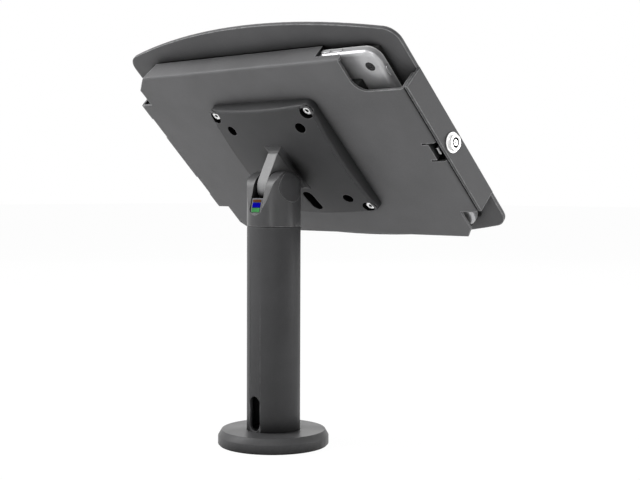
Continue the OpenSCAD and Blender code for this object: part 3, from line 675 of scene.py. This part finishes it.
class Form:
    """A mesh in the making, in millimetres and in its own frame.

    Attributes:
        name: Name of the finished piece.
        mesh: The mesh so far.
    """

    def __init__(self, name: str) -> None:
        """Starts an empty mesh.

        Args:
            name: Name of the finished piece.
        """
        self.name = name
        self.mesh = bmesh.new()

    def loft(self, rings: Iterable[Ring], closed: bool = False, at: Point = (0, 0)) -> None:
        """Joins outlines of equally many points, and caps the ends.

        Args:
            rings: Each outline with its height.
            closed: Joins the last outline to the first instead of capping them.
            at: Where the outlines' origin goes.
        """
        loops = [
            [self.mesh.verts.new((x + at[0], y + at[1], height)) for x, y in outline]
            for outline, height in rings
        ]
        pairs = list(zip(loops, loops[1:]))
        if closed:
            pairs.append((loops[-1], loops[0]))
        else:
            self.mesh.faces.new(loops[0][::-1])
            self.mesh.faces.new(loops[-1])
        for low, high in pairs:
            for i, start in enumerate(low):
                j = (i + 1) % len(low)
                self.mesh.faces.new((start, low[j], high[j], high[i]))

    def turn(self, profile: Sequence[Point]) -> None:
        """Spins a closed or axis-to-axis profile round the Z axis.

        Args:
            profile: Radius and height of each point.
        """
        verts = [self.mesh.verts.new((radius, 0, height)) for radius, height in profile]
        edges = [self.mesh.edges.new(pair) for pair in zip(verts, verts[1:])]
        if profile[0][0] > 0:
            edges.append(self.mesh.edges.new((verts[-1], verts[0])))
        bmesh.ops.spin(
            self.mesh, geom=verts + edges, axis=(0, 0, 1), angle=2 * math.pi, steps=ROUND_STEPS,
            use_merge=True,
        )
        bmesh.ops.remove_doubles(self.mesh, verts=self.mesh.verts, dist=WELD)

    def loop(self, points: Sequence[Point], height: float) -> None:
        """Draws a closed outline of edges.

        Args:
            points: The outline.
            height: Its height.
        """
        verts = [self.mesh.verts.new((x, y, height)) for x, y in points]
        for i, vert in enumerate(verts):
            self.mesh.edges.new((vert, verts[i - 1]))

    def grid(self, reach: float, pitch: float) -> None:
        """Splits the faces along a square grid.

        Args:
            reach: How far the grid goes each way.
            pitch: How far apart its lines are.
        """
        for i in range(int(2 * reach / pitch) + 1):
            for axis in (Vector((1, 0, 0)), Vector((0, 1, 0))):
                parts = (*self.mesh.verts, *self.mesh.edges, *self.mesh.faces)
                bmesh.ops.bisect_plane(
                    self.mesh, geom=parts, dist=1e-3, plane_no=axis,
                    plane_co=axis * (i * pitch - reach),
                )

    def wall(
        self, rim: Rim, start: float, steps: Iterable[tuple[float, Callable[[Vector], float]]]
    ) -> None:
        """Draws the open edge on a rim out through a row of outlines.

        Args:
            rim: The rim's plain outline.
            start: How much larger the open edge is now.
            steps: How much larger each next outline is, and what gives its height at a point.
        """
        edges = [
            e for e in self.mesh.edges
            if e.is_boundary
            and all(abs(rim.reach(v.co) - rim.radius - start) < 2 * SLACK for v in e.verts)
        ]
        for extra, height in steps:
            grown = bmesh.ops.extrude_edge_only(self.mesh, edges=edges)["geom"]
            edges = [g for g in grown if isinstance(g, bmesh.types.BMEdge) and g.is_boundary]
            for vert in (g for g in grown if isinstance(g, bmesh.types.BMVert)):
                place = rim.shift(vert.co, extra)
                vert.co = (*place, height(place))

    def close(self, height: float) -> None:
        """Fills the open edges at a height and leaves the holes between them.

        Args:
            height: The height of those edges.
        """
        edges = [
            e for e in self.mesh.edges
            if (e.is_boundary or e.is_wire) and all(abs(v.co.z - height) < SLACK for v in e.verts)
        ]
        bmesh.ops.triangle_fill(self.mesh, edges=edges, use_beauty=True, normal=(0, 0, 1))

    def cut(self, tool: "Form") -> None:
        """Takes another form away from this one.

        Args:
            tool: The form to take away; it is used up.
        """
        parts = []
        for form in (self, tool):
            bmesh.ops.recalc_face_normals(form.mesh, faces=form.mesh.faces)
            parts.append(put_mesh(form.name, form.mesh))
        cutter = parts[0].modifiers.new("cut", "BOOLEAN")
        cutter.object = parts[1]
        cutter.solver = "EXACT"
        depsgraph = bpy.context.evaluated_depsgraph_get()
        result = bpy.data.meshes.new_from_object(parts[0].evaluated_get(depsgraph))
        self.mesh.clear()
        self.mesh.from_mesh(result)
        for data in (result, *(part.data for part in parts)):
            bpy.data.meshes.remove(data)
        tool.mesh.free()

    def finish(
        self, finish: Finish, body: Body, place: Matrix, nodes: Sequence[str] = (),
        angle: float = 34, shaded: Callable[[Vector], bool] | None = None,
    ) -> None:
        """Makes the piece, finished and in its place.

        Args:
            finish: The piece's finish.
            body: The CAD body that it rides on.
            place: From the form's own frame to the object's, in millimetres.
            nodes: The CAD nodes that it stands for.
            angle: Edges sharper than this, in degrees, look sharp.
            shaded: Tells of a face's middle whether it lies in a hole's shade, where it takes a
                near-black painted shade.
        """
        bmesh.ops.remove_doubles(self.mesh, verts=self.mesh.verts, dist=WELD)
        bmesh.ops.recalc_face_normals(self.mesh, faces=self.mesh.faces)
        # Faces in a hole's shade take the second material, a near-black painted shade
        for face in self.mesh.faces:
            face.material_index = int(bool(shaded and shaded(face.calc_center_median())))
        bmesh.ops.transform(self.mesh, matrix=Matrix.Scale(MM, 4) @ place, verts=self.mesh.verts)
        piece = put_mesh(self.name, self.mesh)
        self.mesh.free()
        data = piece.data
        data.shade_smooth()
        data.set_sharp_from_angle(angle=math.radians(angle))
        data.materials.append(finish.material())
        if shaded:
            data.materials.append(SHADE.material())
        piece.modifiers.new("shade", "WEIGHTED_NORMAL").keep_sharp = True
        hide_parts(*nodes)
        finish.record_slot
        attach(piece, body.value)
        log.info("built %s with %d faces in %s", self.name, len(data.polygons), finish.name)


# To the object's frame from the tilting frame, from the tablet's, from the base's and from the
# lock's, whose Z points out of its head along -u
TILTED = Matrix.Translation((0, 0, PIVOT_Z)) @ Matrix.Rotation(TILT, 4, "X")
ON_TABLET = TILTED @ Matrix.Translation((-1.2, -0.5, 0))
BASE = Matrix.Identity(4)
AT_LOCK = TILTED @ Matrix.Translation((0, -1.8, 46.7)) @ Matrix.Rotation(-math.pi / 2, 4, "Y")
# Distance of the anchor's screws from the pole's axis
ANCHOR_RADIUS = 13.5


def quarter(radius: float, steps: int = 5) -> list[Point]:
    """Rounds an edge.

    Args:
        radius: The edge's radius.
        steps: Number of faces round it.

    Returns:
        How far short of the outline, and how far down the side, each point is.
    """
    turns = (math.pi / 2 * i / steps for i in range(steps + 1))
    return [(radius * (1 - math.sin(a)), radius * (1 - math.cos(a))) for a in turns]


@dataclass(frozen=True)
class MountingPlate:
    """The square plate with a domed back, its counterbores, spare holes, cable slot and arm seat.

    Attributes:
        half: Half of its side.
        corner: Radius of its corners in plan.
        near: Height of the dome's top.
        far: Height of its flat face.
        dome: Radius of the dome.
        rounding: Radius of the edge round the dome.
        pitch: Width of the squares that make up the dome.
        edge: Chamfer on the holes.
        screw_half: Half of the screws' pitch.
        spare_half: Half of the spare holes' pitch.
        counterbore: Radius of the counterbores.
        counterbore_floor: Height of their floors.
        screw_hole: Radius of the holes below them.
        spare_hole: Radius of the spare holes.
        slot: The cable slot.
        seat: Half sizes of the arm's seat.
        seat_corner: Radius of the seat's corners.
        seat_floor: Height of its floor.
    """

    half: float = 56.0
    corner: float = 5.0
    near: float = 20.7
    far: float = 35.7
    dome: float = 355.66
    rounding: float = 2.2
    pitch: float = 3.5
    edge: float = 0.35
    screw_half: float = 50.0
    spare_half: float = 37.5
    counterbore: float = 5.7
    counterbore_floor: float = 31.5
    screw_hole: float = 2.2
    spare_hole: float = 4.4
    slot: Rim = Rim((0, -38.5), (0, 6.2), 5.0)
    seat: Point = (9.25, 23.1)
    seat_corner: float = 0.4
    seat_floor: float = 22.5

    def height(self, place: Vector) -> float:
        """Gives the dome's height at a point.

        Args:
            place: The point in plan.

        Returns:
            The height.
        """
        return self.near + self.dome - math.sqrt(self.dome**2 - place.x**2 - place.y**2)

    def build(self) -> None:
        """Makes the plate."""
        form = Form("domed_mounting_plate")
        core = self.half - self.corner
        outer = Rim((0, 0), (core, core), self.corner)
        bores, spares = (
            [Rim((x * half, y * half), (0, 0), radius) for x, y in CORNERS]
            for half, radius in (
                (self.screw_half, self.counterbore), (self.spare_half, self.spare_hole)
            )
        )
        holes = (*bores, *spares, self.slot)
        seat = Rim((0, 0), tuple(h - self.seat_corner for h in self.seat), self.seat_corner)
        form.loop(outer.points(-self.rounding), 0)
        for rim in holes:
            form.loop(rim.points(self.edge), 0)
        form.loop(seat.points(0, 4), 0)
        form.close(0)
        form.grid(self.half, self.pitch)
        for vert in form.mesh.verts:
            vert.co.z = self.height(vert.co)
        form.wall(
            outer, -self.rounding,
            [(-short, lambda p, down=down: self.height(p) + down)
             for short, down in quarter(self.rounding)[1:]] + [(0, lambda p: self.far)],
        )
        chamfer = [
            (self.edge * 0.3, lambda p: self.height(p) + self.edge * 0.3),
            (0, lambda p: self.height(p) + self.edge),
        ]
        for rim in bores:
            inner = self.screw_hole - self.counterbore
            form.wall(rim, self.edge, [
                *chamfer, (0, lambda p: self.counterbore_floor),
                (inner, lambda p: self.counterbore_floor), (inner, lambda p: self.far),
            ])
        for rim in (*spares, self.slot):
            form.wall(rim, self.edge, [*chamfer, (0, lambda p: self.far)])
        form.wall(seat, 0, [(0, lambda p: self.seat_floor)])
        form.close(self.seat_floor)
        form.close(self.far)

        def in_hole(spot: Vector) -> bool:
            """Tells whether a point lies on the wall of a hole, which is painted near-black as
            shade.
            """
            return self.height(spot) + self.edge < spot.z < self.far - SLACK and any(
                rim.reach(spot) < rim.radius + SLACK for rim in holes
            )

        form.finish(COAT, Body.CARRIER, TILTED, ["mounting_plate"], angle=30, shaded=in_hole)


@dataclass(frozen=True)
class SocketScrews:
    """Round-headed screws with hexagonal sockets and their heads towards -Z.

    Attributes:
        node: The CAD node that they stand for.
        body: The CAD body that they ride on.
        finish: Their finish.
        place: From their own frame to the object's.
        centres: Where each stands.
        head: Radius of the head.
        shank: Radius of the thread.
        top: Height of the head's face.
        under: Height of its underside.
        tip: Height of the tip.
        socket: Distance from the socket's centre to its corners.
        depth: Its depth.
    """

    node: str
    body: Body
    finish: Finish
    place: Matrix
    centres: tuple[Point, ...]
    head: float
    shank: float
    top: float
    under: float
    tip: float
    socket: float = 1.5
    depth: float = 1.4

    def build(self) -> None:
        """Makes the screws as one piece."""
        form = Form(f"{self.node}_turned")
        rings: list[Ring] = [
            (hexagon(self.socket), self.top + self.depth),
            (hexagon(self.socket), self.top + 0.2),
            (circle(self.socket + 0.15), self.top),
            *((circle(self.head - short), self.top + down) for short, down in quarter(0.8)),
            (circle(self.head), self.under),
            (circle(self.shank), self.under),
            (circle(self.shank), self.tip - 0.5),
            (circle(self.shank - 0.5), self.tip),
        ]
        for centre in self.centres:
            form.loft(rings, at=centre)
        form.finish(self.finish, self.body, self.place, [self.node])


@dataclass(frozen=True)
class HexNut:
    """A hexagon nut with turned-down corners.

    Attributes:
        node: The CAD node that it stands for.
        body: The CAD body that it rides on.
        place: From its own frame to the object's.
        corner: Distance from its axis to its corners.
        bore: Radius of its bore.
        low: Height of its lower face.
        high: Height of its upper face.
    """

    node: str
    body: Body
    place: Matrix
    corner: float
    bore: float
    low: float
    high: float

    def build(self) -> None:
        """Makes the nut."""
        form = Form(f"{self.node}_chamfered")
        face = self.corner * 0.88
        down = 0.09 * self.corner
        edge = ((face, 0), ((face + self.corner) / 2, down / 2), (math.inf, down))
        form.loft([
            (circle(self.bore), self.low),
            *((hexagon(self.corner, limit), self.low + rise) for limit, rise in edge),
            *((hexagon(self.corner, limit), self.high - rise) for limit, rise in edge[::-1]),
            (circle(self.bore), self.high),
        ], closed=True)
        form.finish(STEEL, self.body, self.place, [self.node])


@dataclass(frozen=True)
class CamLock:
    """The tubular cam lock: its barrel with a ring-shaped keyway, and the plug that turns.

    Attributes:
        end: Where the barrel ends inside, along -u.
        seat: Where the head meets the flange.
        head: Thickness of the head.
        head_radius: Radius of the head.
        drum: Radius of the drum on the head.
        barrel: Radius of the barrel.
        face: Where the drum's face is.
        keyway: Outside radius of the keyway.
        depth: Depth of the keyway.
        core: Radius of the plug's core.
        post: Radius of the post in the keyway.
        notch: Width of the key's notches.
        cam: Where the cam's far face is.
    """

    end: float = 140.1
    seat: float = 146.0
    head: float = 1.3
    head_radius: float = 7.6
    drum: float = 5.9
    barrel: float = 6.0
    face: float = 149.6995
    keyway: float = 3.8
    depth: float = 2.6
    core: float = 3.2
    post: float = 2.6
    notch: float = 0.9
    cam: float = 138.1

    def notched(self, radius: float, step: float) -> list[Point]:
        """Draws a circle with a notch for the key's lug.

        Args:
            radius: Its radius.
            step: How much the notch adds to it.

        Returns:
            The outline's points.
        """
        half = math.asin(self.notch / 2 / radius)
        return polar(
            lambda a: radius + step * (math.cos(a) > math.cos(half * 1.05)), LOCK_STEPS
        )

    def build(self) -> None:
        """Makes the barrel and the plug."""
        face, floor, head = self.face, self.face - self.depth, self.seat + self.head
        lug = self.notch / 2
        keyway, post = self.notched(self.keyway, lug), self.notched(self.post, -lug)

        def ring(radius: float, height: float) -> Ring:
            """Gives a round outline with its height."""
            return circle(radius, LOCK_STEPS), height

        def in_keyway(spot: Vector) -> bool:
            """Tells whether a point lies inside the keyway, which is painted near-black as shade."""
            return floor - SLACK < spot.z < face - 0.2 and spot.xy.length < self.keyway + lug

        barrel = Form("lock_barrel_turned")
        barrel.loft([
            ring(self.core + 0.05, self.end), ring(self.barrel - 0.4, self.end),
            ring(self.barrel, self.end + 0.4), ring(self.barrel, self.seat),
            ring(self.head_radius - 0.15, self.seat), ring(self.head_radius, self.seat + 0.15),
            *(ring(self.head_radius - s, head - down) for s, down in quarter(0.5)[::-1]),
            ring(self.drum + 0.25, head), ring(self.drum, head + 0.25),
            *(ring(self.drum - s, face - down) for s, down in quarter(0.45)[::-1]),
            (self.notched(self.keyway + 0.15, lug), face), (keyway, face - 0.15),
            (keyway, floor), ring(self.core + 0.05, floor),
        ], closed=True)
        barrel.finish(NICKEL, Body.BEZEL, AT_LOCK, ["lock_barrel"], shaded=in_keyway)
        plug = Form("lock_plug_turned")
        plug.loft([
            ring(self.core, self.cam), ring(self.core, floor), (post, floor), (post, face - 0.4),
            (self.notched(self.post - 0.3, -lug), face - 0.1), ring(0.8, face - 0.1),
            ring(0.6, face - 0.5),
        ])
        plug.finish(NICKEL, Body.LOCK, AT_LOCK, ["lock_plug"], shaded=in_keyway)


@dataclass(frozen=True)
class EdgeButton:
    """A pill-shaped button in the tablet's edge.

    Attributes:
        node: The CAD node that it stands for.
        body: The CAD body that it rides on.
        place: From its own frame, whose Z points out of the edge, to the tablet's.
    """

    node: str
    body: Body
    place: Matrix

    # How far it goes in and stands out, and how wide and deep its pocket is beyond it
    OUTLINE = Rim((0, 0), (3.2, 0), 1.3)
    DEPTH, PROUD, ROOM, POCKET = 1.0, 0.7, 0.1, 2.1

    def build(self) -> None:
        """Makes the button."""
        form = Form(f"{self.node}_pill")
        form.loft([
            (self.OUTLINE.points(), -self.DEPTH),
            *((self.OUTLINE.points(-s), self.PROUD - down) for s, down in quarter(0.35)[::-1]),
        ])
        form.finish(SILVER, self.body, ON_TABLET @ self.place, [self.node])


@dataclass(frozen=True)
class Tablet:
    """The tablet's shell, rear camera, home button and edge buttons.

    Attributes:
        half: Half of its length and width.
        corner: Radius of its corners in plan.
        back: Height of its back.
        top: Height of the shell's edge under the glass.
        rounding: Radius from its side to its back.
        camera: Where the camera is.
        camera_radius: Radius of the camera's ring.
        lens_radius: Radius of its lens.
        home: Where the home button is along u.
        home_radius: Radius of the home button.
        button_height: Height of the edge buttons.
    """

    half: Point = (125.3, 87.05)
    corner: float = 11.0
    back: float = 44.7
    top: float = 51.2
    rounding: float = 3.2
    camera: Point = (-115.6, 74.05)
    camera_radius: float = 3.6
    lens_radius: float = 2.7
    home: float = 114.4
    home_radius: float = 7.3
    button_height: float = 48.9

    def buttons(self) -> list[EdgeButton]:
        """Gives the three edge buttons.

        Returns:
            The buttons in their places.
        """
        up = Matrix.Rotation(-math.pi / 2, 4, "X")
        left = Matrix.Rotation(math.pi / 2, 4, "Z")
        along = (
            ("power_button", Body.POWER, (-self.half[0], self.half[1] - 21), left @ up),
            ("volume_up_button", Body.VOLUME_UP, (34.5 - self.half[0], self.half[1]), up),
            ("volume_down_button", Body.VOLUME_DOWN, (46 - self.half[0], self.half[1]), up),
        )
        return [
            EdgeButton(node, body, Matrix.Translation((*at, self.button_height)) @ turn)
            for node, body, at, turn in along
        ]

    def build(self) -> None:
        """Makes the tablet's pieces."""
        self.shell()
        self.lens()
        self.home_button()
        for button in self.buttons():
            button.build()

    def shell(self) -> None:
        """Makes the shell with its pockets."""
        plan = Rim((0, 0), tuple(h - self.corner for h in self.half), self.corner)
        form = Form("tablet_shell_smooth")
        form.loft([
            *((plan.points(-s, 14), self.back + down) for s, down in quarter(self.rounding, 9)),
            (plan.points(0, 14), self.top - 0.3), (plan.points(-0.3, 14), self.top),
        ])
        tool = Form("pockets")
        camera = Rim(self.camera, (0, 0), self.camera_radius + 0.01)
        home = Rim((self.home, 0), (0, 0), self.home_radius + 0.1)
        tool.loft([
            (camera.points(0.25, 16), self.back - 1), (camera.points(0.25, 16), self.back),
            (camera.points(0, 16), self.back + 0.25), (camera.points(0, 16), self.back + 1.6),
        ])
        tool.loft([(home.points(0, 18), self.top - 1.5), (home.points(0, 18), self.top + 2)])
        for button in self.buttons():
            outline = button.OUTLINE.points(button.ROOM)
            before = set(tool.mesh.verts)
            tool.loft([(outline, -button.POCKET), (outline, button.POCKET)])
            fresh = [v for v in tool.mesh.verts if v not in before]
            bmesh.ops.transform(tool.mesh, matrix=button.place, verts=fresh)
        form.cut(tool)
        form.finish(SILVER, Body.TABLET, ON_TABLET, ["tablet_shell"], angle=25)

    def lens(self) -> None:
        """Makes the rear camera: a dark lens in a black ring."""
        place = ON_TABLET @ Matrix.Translation((*self.camera, self.back))
        inner, outer = self.lens_radius, self.camera_radius
        ring = Form("camera_ring")
        ring.turn([
            (inner, 0.5), (inner, -0.2), (inner + 0.15, -0.35),
            (outer - 0.25, -0.4), (outer, -0.2), (outer, 0.5),
        ])
        ring.finish(NYLON, Body.TABLET, place)
        lens = Form("camera_lens")
        lens.turn([
            (0, -0.12), (0.9, -0.1), (1.0, 0.05), (1.6, 0.12), (1.7, -0.05),
            (inner - 0.02, -0.05), (inner - 0.02, 1.6), (0, 1.6),
        ])
        lens.finish(LENS, Body.TABLET, place, ["rear_camera"])

    def home_button(self) -> None:
        """Makes the home button as a shallow dish."""
        radius, foot, face = self.home_radius, self.top - 0.9, self.top + 0.8
        form = Form("home_button_dish")
        form.turn([
            (0, foot), (radius, foot), (radius, face - 0.1), (radius - 0.12, face),
            *((radius * (1 - i / 12), face - 0.5 + 0.45 * ((12 - i) / 12) ** 2)
              for i in range(1, 12)),
            (0, face - 0.5),
        ])
        place = ON_TABLET @ Matrix.Translation((self.home, 0, 0))
        form.finish(WHITE, Body.HOME, place, ["home_button"])


def fasteners() -> list[SocketScrews | HexNut]:
    """Gives the screws and nuts that are remade with sockets and chamfers.

    Returns:
        The screws and nuts.
    """
    half = MountingPlate.screw_half
    corners = tuple((half * x, half * y) for x, y in CORNERS)
    round_pole = tuple(
        (ANCHOR_RADIUS * math.cos(a), ANCHOR_RADIUS * math.sin(a))
        for a in map(math.radians, (90, 210, 330))
    )
    return [
        SocketScrews(
            "mounting_screws", Body.CARRIER, BRIGHT, TILTED, corners,
            head=3.9, shank=2.0, top=29.2, under=31.5, tip=41.7,
        ),
        SocketScrews(
            "anchor_screws", Body.STAND, STEEL, BASE, round_pole,
            head=4.0, shank=2.0, top=1.0, under=3.0, tip=11.5,
        ),
        HexNut("shaft_nut", Body.HEAD, BASE, corner=17.4, bore=13.01, low=143.9, high=149.9),
        HexNut("lock_nut", Body.BEZEL, AT_LOCK, corner=8.0, bore=6.01, low=140.9, high=143.5),
    ]


@dataclass(frozen=True)
class View:
    """The camera, as fitted to the photograph.

    Attributes:
        focal: Focal length in pixels of the photograph.
        width: Width of the photograph in pixels.
        place: Where the camera stands, in millimetres.
        yaw: Direction of sight, in degrees from -Y towards +X.
        pitch: Angle above the horizon, in degrees.
        roll: Turn about the line of sight, in degrees.
    """

    focal: float = 1210.87
    width: int = 640
    place: Triple = (-672.4, 655.6, 198.8)
    yaw: float = 43.538
    pitch: float = -2.418
    roll: float = 0.21

    def build(self) -> None:
        """Makes the scene's camera."""
        data = bpy.data.cameras.new("camera")
        data.sensor_width = 36
        data.lens = self.focal * data.sensor_width / self.width
        data.clip_start, data.clip_end = 0.01, 50
        place = Matrix.Translation(Vector(self.place) * MM)
        for degrees, axis in ((180 + self.yaw, "Z"), (90 + self.pitch, "X"), (self.roll, "Z")):
            place @= Matrix.Rotation(math.radians(degrees), 4, axis)
        camera = put("camera", data)
        camera.matrix_world = place
        bpy.context.scene.camera = camera


@dataclass(frozen=True)
class Lamp:
    """A soft rectangular light that points at the object.

    Attributes:
        name: Name of the light.
        place: Where it hangs, in metres.
        size: Width and height in metres.
        power: Power in watts.
    """

    name: str
    place: Triple
    size: Point
    power: float

    def build(self, target: Vector) -> None:
        """Makes the light.

        Args:
            target: The point that it faces.
        """
        data = bpy.data.lights.new(self.name, "AREA")
        data.shape = "RECTANGLE"
        data.size, data.size_y = self.size
        data.energy = self.power
        lamp = put(self.name, data)
        lamp.location = self.place
        lamp.rotation_euler = (target - lamp.location).to_track_quat("-Z", "Y").to_euler()


LAMPS = (
    Lamp("key_light", (0.6, 0.7, 1.0), (0.6, 0.5), 7),
    Lamp("wide_light", (1.8, 1.6, 1.5), (1.4, 1.2), 25),
    Lamp("high_light", (-1.2, 1.4, 1.6), (1.6, 1.2), 10),
    Lamp("pole_light", (-0.6, 0.9, 0.22), (0.15, 0.4), 1.0),
    Lamp("lock_light", (-0.9, -0.75, 0.24), (0.5, 0.4), 3.5),
    Lamp("screen_light", (1.6, -1.6, 0.8), (1.4, 1.2), 3.5),
    Lamp("front_light", (0.2, -1.6, 1.8), (1.6, 1.2), 12),
)


def seen_rays(tree: Tree) -> Socket:
    """Picks the rays that see the background: from the camera, off gloss and through glass.

    Args:
        tree: The node tree of the floor or the world.

    Returns:
        One for those rays and zero for the light itself.
    """
    path = tree.nodes.new("ShaderNodeLightPath").outputs
    seen = path["Is Camera Ray"]
    for kind in ("Is Glossy Ray", "Is Transmission Ray"):
        seen = operate(tree, "ShaderNodeMath", "MAXIMUM", seen, path[kind])
    return seen


def show(tree: Tree, share: Socket, lit: Socket, seen: Socket, end: str) -> None:
    """Shows a mixture of two shaders.

    Args:
        tree: The node tree of the floor or the world.
        share: How much of the second shader there is.
        lit: The first shader.
        seen: The second shader.
        end: Name of the tree's output node.
    """
    blend = tree.nodes.new("ShaderNodeMixShader")
    for socket, out in zip(blend.inputs, (share, lit, seen)):
        tree.links.new(out, socket)
    tree.links.new(blend.outputs[0], tree.nodes[end].inputs["Surface"])


class Studio:
    """The plain floor, the pale surroundings and the lights."""

    def build(self, target: Vector) -> None:
        """Makes everything that isn't the object.

        Args:
            target: The point that the lights face.
        """
        self.floor()
        self.surroundings()
        for lamp in LAMPS:
            lamp.build(target)
        bpy.context.scene.view_settings.view_transform = "Standard"

    @staticmethod
    def floor() -> None:
        """Makes a wide pale floor that the camera sees as almost white."""
        board = bmesh.new()
        bmesh.ops.create_grid(board, x_segments=8, y_segments=8, size=12)
        floor = put_mesh("floor", board)
        board.free()
        look = Board("floor")
        cloud = look.spread(look.noise(400, 3), 0, 1)
        pale = look.mix(cloud, (0.84, 0.84, 0.84), (0.86, 0.86, 0.86))
        look.shade({"Base Color": pale, "Roughness": 0.8})
        glow = look.add("ShaderNodeEmission", Color=(1, 1, 1), Strength=1.035)
        share = look.ramp(seen_rays(look.tree), 0, 1, 0, 0.94)
        show(look.tree, share, look.shader.outputs[0], glow.outputs[0], "Material Output")
        floor.data.materials.append(look.material)
        floor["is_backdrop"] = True

    @staticmethod
    def surroundings() -> None:
        """Makes the light that comes from all round: pale at the horizon, dim overhead."""
        world = bpy.data.worlds.new("studio")
        bpy.context.scene.world = world
        world.use_nodes = True
        tree = world.node_tree
        soft = tree.nodes["Background"]
        place, split, ramp, seen = (
            tree.nodes.new(f"ShaderNode{kind}")
            for kind in ("TexCoord", "SeparateXYZ", "ValToRGB", "Background")
        )
        for end, height, level in zip(ramp.color_ramp.elements, (0.0, 0.8), (0.07, 0.02)):
            end.position, end.color = height, (level, level, level, 1)
        feed(tree, seen.inputs["Color"], (1, 1, 1))
        feed(tree, split.inputs[0], place.outputs["Generated"])
        feed(tree, ramp.inputs[0], split.outputs["Z"])
        feed(tree, soft.inputs["Color"], ramp.outputs[0])
        show(tree, seen_rays(tree), soft.outputs[0], seen.outputs[0], "World Output")


def main() -> None:
    """Builds the whole scene."""
    logging.basicConfig(level=logging.INFO, format="%(name)s: %(message)s")
    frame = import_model()
    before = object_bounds()
    View().build()
    Studio().build((before[0] + before[1]) / 2)
    dress_nodes(frame["nodes"])
    for part in (MountingPlate(), CamLock(), Tablet(), *fasteners()):
        part.build()


if __name__ == "__main__":
    main()
